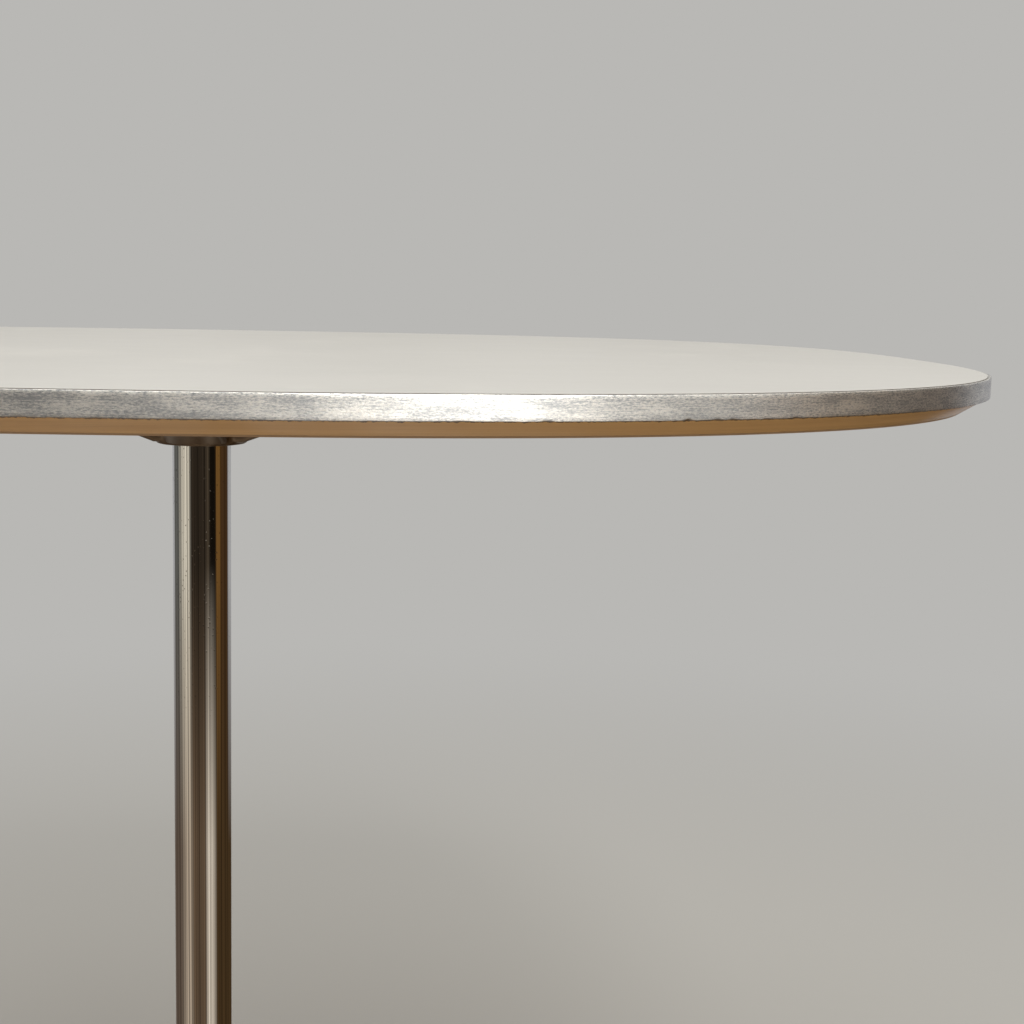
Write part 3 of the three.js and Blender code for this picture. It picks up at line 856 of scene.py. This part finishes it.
def build_tie_rod():
    low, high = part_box("tie_rod")
    columns = 72
    radius = high.x
    rows = [(low.z, 0.0), (low.z, radius * 0.82)]
    rows += threaded_rows(radius, ROD_PITCH, low.z + 1 * MM, low.z + ROD_THREAD, columns)
    rows += [(low.z + ROD_THREAD + 1 * MM, radius), (high.z - ROD_THREAD - 1 * MM, radius)]
    rows += threaded_rows(radius, ROD_PITCH, high.z - ROD_THREAD, high.z - 1 * MM, columns)
    rows += [(high.z, radius * 0.82), (high.z, 0.0)]
    stand_for(turned("tie_rod_fine", rows, columns), "tie_rod")
    for end in ("top", "base"):
        node = f"tie_rod_{end}_nut"
        low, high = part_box(node)
        rows = hexagon_rows(2 * high.x, low.z, high.z, columns, ROD_HOLE + 0.6 * MM)
        rows += [(high.z - 0.6 * MM, ROD_HOLE), (low.z + 0.6 * MM, ROD_HOLE)]
        stand_for(turned(f"{node}_fine", rows, columns, ring=True), node)
        node = f"tie_rod_{end}_washer"
        low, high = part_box(node)
        corners = [
            (high.x, low.z, 0.3 * MM),
            (high.x, high.z, 0.6 * MM),
            (ROD_HOLE, high.z, 0.3 * MM),
            (ROD_HOLE, low.z, 0.3 * MM),
        ]
        stand_for(turned(f"{node}_fine", profile_rows(corners, closed=True), ring=True), node)


def build_screws():
    low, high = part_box("top_screw_1")
    head = high.y
    seat = high.z - SCREW_LENGTH
    columns = 48
    radius = SCREW_RADIUS
    rows = [(low.z, 0.0)]
    for k in range(1, 9):
        lean = k / 8 * math.pi / 2
        height = (seat - low.z) * PAN_HEIGHT * (1 - math.cos(lean))
        rows.append((low.z + height, head * (0.45 + 0.55 * math.sin(lean))))
    rows += [(seat, head), (seat, radius), (seat + 2 * MM, radius)]
    tip = high.z - radius
    rows += threaded_rows(radius, SCREW_PITCH, seat + 2.2 * MM, tip, columns)
    rows += [(tip + 0.5 * MM, radius * 0.6), (high.z, 0.0)]
    places = [(side, r) for side in range(4) for r in SCREW_RADII]
    for i, (side, reach) in enumerate(places):
        node = f"top_screw_{i + 1}"
        piece = turned(f"{node}_fine", rows, columns)
        cut_slot(piece, 2 * head, SCREW_SLOT, low.z, SCREW_SLOT)
        turn = Matrix.Rotation(i * SCREW_TURN, 4, "Z")
        spot = Matrix.Rotation(side * math.pi / 2, 4, "Z") @ Vector((reach, 0, 0))
        piece.data.transform(Matrix.Translation(spot) @ turn)
        stand_for(piece, node)


def cut_slot(piece, length, width, face, depth):
    """Cuts a straight slot across the lower end of a piece."""
    x, y = length / 2, width / 2
    low, high = face - depth, face + depth
    points = [(i * x, j * y, z) for z in (low, high) for i, j in ((-1, -1), (1, -1), (1, 1), (-1, 1))]
    faces = [(0, 3, 2, 1), (4, 5, 6, 7), (0, 1, 5, 4), (1, 2, 6, 5), (2, 3, 7, 6), (3, 0, 4, 7)]
    tool = make_object("slot_tool", points, faces)
    cut = piece.modifiers.new("slot", "BOOLEAN")
    cut.object = tool
    cut.operation = "DIFFERENCE"
    cut.solver = "EXACT"
    mesh = bpy.data.meshes.new_from_object(piece.evaluated_get(bpy.context.evaluated_depsgraph_get()))
    piece.modifiers.clear()
    piece.data = mesh
    mesh.set_sharp_from_angle(angle=math.radians(35))
    bpy.data.objects.remove(tool)


def build_hub_cover():
    low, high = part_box("hub_cover")
    corners = [
        (0, low.z + 0.3 * MM, 0),
        (high.x - 5 * MM, low.z + 0.3 * MM, 0.3 * MM),
        (high.x - 4.6 * MM, low.z, 0.3 * MM),
        (high.x, low.z, 0.8 * MM),
        (high.x, high.z, 0.5 * MM),
        (high.x - COVER_WALL, high.z, 0.5 * MM),
        (high.x - COVER_WALL, low.z + COVER_WALL, 0.6 * MM),
        (0, low.z + COVER_WALL, 0),
    ]
    stand_for(turned("hub_cover_fine", profile_rows(corners, longest=4 * MM)), "hub_cover")


def build_glides():
    columns = 96
    for i in range(1, 5):
        low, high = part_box(f"glide_pad_{i}")
        centre = ((low.x + high.x) / 2, (low.y + high.y) / 2)
        radius = (high.x - low.x) / 2
        corners = [
            (0, low.z, 0),
            (radius - 1.2 * MM, low.z, 0.8 * MM),
            (radius, low.z + 1 * MM, 0.6 * MM),
            (radius, low.z + PAD_SIDE, 1.2 * MM),
            (PAD_WELL + 4 * MM, high.z, 1.6 * MM),
            (PAD_WELL, high.z, 0.5 * MM),
            (PAD_WELL, low.z + PAD_FLOOR, 0.4 * MM),
            (0, low.z + PAD_FLOOR, 0),
        ]
        rows = profile_rows(corners, longest=3 * MM)
        stand_for(turned(f"glide_pad_{i}_fine", rows, columns, centre=centre), f"glide_pad_{i}")

        low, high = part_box(f"glide_stud_{i}")
        flange = (high.x - low.x) / 2
        rim = flange - FLANGE_CHAMFER
        flange_top = low.z + FLANGE_HEIGHT
        core = STUD_RADIUS * 0.86
        hex_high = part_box("base_star")[0].z - 0.3 * MM
        hex_low = hex_high - HEX_HEIGHT
        rows = [(low.z, 0.0), (low.z, rim), (low.z + FLANGE_CHAMFER, flange)]
        rows += [(flange_top - FLANGE_CHAMFER, flange), (flange_top, rim), (flange_top, core)]
        rows += hexagon_rows(HEX_ACROSS, hex_low, hex_high, columns, core)
        rows += threaded_rows(STUD_RADIUS, STUD_PITCH, hex_high + 0.4 * MM, high.z - 0.6 * MM, columns)
        rows += [(high.z, core * 0.9), (high.z, 0.0)]
        stand_for(turned(f"glide_stud_{i}_fine", rows, columns, centre=centre), f"glide_stud_{i}")


# ---- The studio ----

WALL_TONE = (0.485, 0.479, 0.462)  # what the camera sees behind the table


def build_floor():
    """A pale floor that fades into the tone behind it, so that it has no edge from any side."""
    steps = 128
    rings = (0.0, 1.0, 2.0, 4.0, 8.0, 16.0, 40.0)
    angle = np.arange(steps) * 2 * math.pi / steps
    across = np.stack([np.cos(angle), np.sin(angle), np.zeros(steps)], 1)
    points = np.concatenate([across * r for r in rings])
    floor = make_object("studio_floor", points, grid_faces(len(rings), steps, False, True))
    weld(floor)
    for polygon in floor.data.polygons:
        if polygon.normal.z < 0:
            polygon.flip()
    m = Material("studio_floor")
    m.set(base_color=(0.50, 0.495, 0.475), roughness=0.8)
    flat = m.node("Emission", {"Color": rgba(WALL_TONE), "Strength": 1.0}).outputs[0]
    distance = m.node("VectorMath", {"Vector": m.place}, operation="LENGTH").outputs["Value"]
    fade = m.limits(distance, 0.6, 2.6)
    fade.node.interpolation_type = "SMOOTHSTEP"
    blend = m.node("MixShader", {"Fac": fade})
    m.tree.links.new(m.shader.outputs[0], blend.inputs[1])
    m.tree.links.new(flat, blend.inputs[2])
    m.tree.links.new(blend.outputs[0], m.tree.nodes["Material Output"].inputs["Surface"])
    floor.data.materials.append(m.material)
    floor.visible_glossy = False


# The room that polished metal sees, level with the table. Each patch runs from one azimuth to another, in
# degrees from +X, and blends into the next.
ROOM = [
    (-165, -140, (0.65, 0.60, 0.50)),  # window
    (-125, -70, (0.03, 0.022, 0.015)),  # unlit room
    (-65, -55, (0.06, 0.045, 0.03)),  # curtain
    (-50, -30, (0.008, 0.006, 0.004)),  # doorway
    (-20, -10, (0.18, 0.09, 0.025)),  # lit wooden cupboard
    (0, 35, (0.06, 0.03, 0.012)),  # its shaded side
    (50, 130, (0.44, 0.44, 0.45)),  # wall
    (145, 170, (0.12, 0.12, 0.11)),  # shaded corner
]
# The same lower down, where it sees the floor.
FLOORWARDS = [
    (-150, -135, (0.42, 0.34, 0.26)),  # light from the window
    (-120, -75, (0.12, 0.08, 0.05)),  # floorboards
    (-62, -45, (0.68, 0.60, 0.50)),  # patch of sun
    (-25, 70, (0.06, 0.035, 0.015)),  # boards in shadow
    (85, 105, (0.42, 0.40, 0.37)),  # foot of the wall
    (125, 175, (0.11, 0.08, 0.06)),  # shaded corner
]
CEILING = (0.56, 0.54, 0.505)


def round_the_room(patches):
    """Ramp stops for patches in order of azimuth. The last blends into the first across the seam at 180."""
    stops = [(side, color) for start, end, color in patches for side in (start, end)]
    (last, before), (first, after) = stops[-1], stops[0]
    share = (180 - last) / (first + 360 - last)
    seam = [a + (b - a) * share for a, b in zip(before, after)]
    return [((azimuth + 180) / 360, color) for azimuth, color in [(-180, seam), *stops, (180, seam)]]


def build_world():
    """The camera sees a plain tone, and the rest a room: pale above, patchy round about, brown below."""
    world = bpy.data.worlds.new("studio")
    bpy.context.scene.world = world
    world.use_nodes = True
    n = Nodes(world.node_tree)
    n.tree.nodes.clear()
    direction = n.node("TexCoord").outputs["Generated"]
    parts = n.node("SeparateXYZ", {"Vector": direction}).outputs
    azimuth = n.math("ARCTAN2", parts["Y"], parts["X"])
    turn = n.limits(azimuth, -math.pi, math.pi)
    elevation = n.math("MULTIPLY", n.math("ARCSINE", parts["Z"]), 180 / math.pi)
    level = n.ramp(turn, round_the_room(ROOM))
    lower = n.ramp(turn, round_the_room(FLOORWARDS))
    around = n.mix(n.limits(elevation, -9, -18), level, lower)
    streaks = n.node("TexNoise", {"W": azimuth, "Scale": 9.0, "Detail": 4.0}, noise_dimensions="1D")
    stripes = n.limits(streaks.outputs["Fac"], 0.36, 0.64, 0.5, 1.4)
    around = n.mix(1.0, around, stripes, "MULTIPLY")
    room = n.mix(n.limits(elevation, 4, 16), around, CEILING)
    camera = n.node("LightPath").outputs["Is Camera Ray"]
    seen = n.mix(camera, room, WALL_TONE)
    background = n.node("Background", {"Color": seen, "Strength": 1.0})
    output = n.node("OutputWorld")
    n.tree.links.new(background.outputs[0], output.inputs["Surface"])


def soft_light(name, azimuth, elevation, distance, size, power, color, sheen_only=False):
    """An area light at an azimuth from +X and an elevation about the table, facing it."""
    a, e = math.radians(azimuth), math.radians(elevation)
    away = Vector((math.cos(a) * math.cos(e), math.sin(a) * math.cos(e), math.sin(e)))
    light = bpy.data.lights.new(name, "AREA")
    light.shape = "RECTANGLE"
    light.size, light.size_y = size
    light.energy = power
    light.color = color
    lamp = bpy.data.objects.new(name, light)
    lamp.location = Vector((0, 0, 0.6)) + away * distance
    lamp.rotation_mode = "QUATERNION"
    lamp.rotation_quaternion = away.to_track_quat("Z", "Y")
    lamp.visible_camera = False
    lamp.visible_diffuse = not sheen_only
    bpy.context.scene.collection.objects.link(lamp)


def build_lights():
    soft_light("overhead_softbox", 140, 76, 2.6, (3.0, 2.2), 27, (1.0, 0.985, 0.955))
    soft_light("window", -67, 38, 3.0, (0.75, 1.6), 46, (1.0, 0.98, 0.94))
    soft_light("window_glow", -59, 34, 3.0, (4.2, 1.8), 38, (1.0, 0.98, 0.94), sheen_only=True)
    soft_light("warm_wall", -2, 32, 3.0, (1.6, 1.4), 3, (1.0, 0.84, 0.66), sheen_only=True)


def build_camera():
    """Just above the level of the tabletop, close in, and aimed to the right of the column."""
    camera = bpy.data.cameras.new("camera")
    camera.lens = 61.15
    camera.sensor_width = 36.0
    camera.clip_start = 0.05
    eye = bpy.data.objects.new("camera", camera)
    bpy.context.scene.collection.objects.link(eye)
    bpy.context.scene.camera = eye
    away, aside = 2.4445 * half_width, 0.1288
    above = 0.0851 * half_width
    yaw, pitch, roll = 0.049, 0.1263, 0.0187
    eye.location = (away * math.sin(aside), -away * math.cos(aside), top_face + above)
    forward = Vector((math.sin(yaw) * math.cos(pitch), math.cos(yaw) * math.cos(pitch), -math.sin(pitch)))
    level = Vector((math.cos(yaw), -math.sin(yaw), 0))
    upward = level.cross(forward)
    right = level * math.cos(roll) + upward * math.sin(roll)
    up = upward * math.cos(roll) - level * math.sin(roll)
    eye.rotation_mode = "QUATERNION"
    eye.rotation_quaternion = Matrix((right, up, -forward)).transposed().to_quaternion()


def finish_hidden_nodes():
    """The core stays a CAD solid, because nothing shows it, and still gets a finish."""
    node = frame["nodes"]["core_panel"]
    node.data.materials.clear()
    node.data.materials.append(materials["chipboard"])


build_laminate()
build_backing()
build_lipping()
build_band()
build_castings()
build_column()
build_tie_rod()
build_screws()
build_hub_cover()
build_glides()
finish_hidden_nodes()
build_floor()
build_world()
build_lights()
build_camera()
bpy.context.scene.view_settings.view_transform = "Standard"
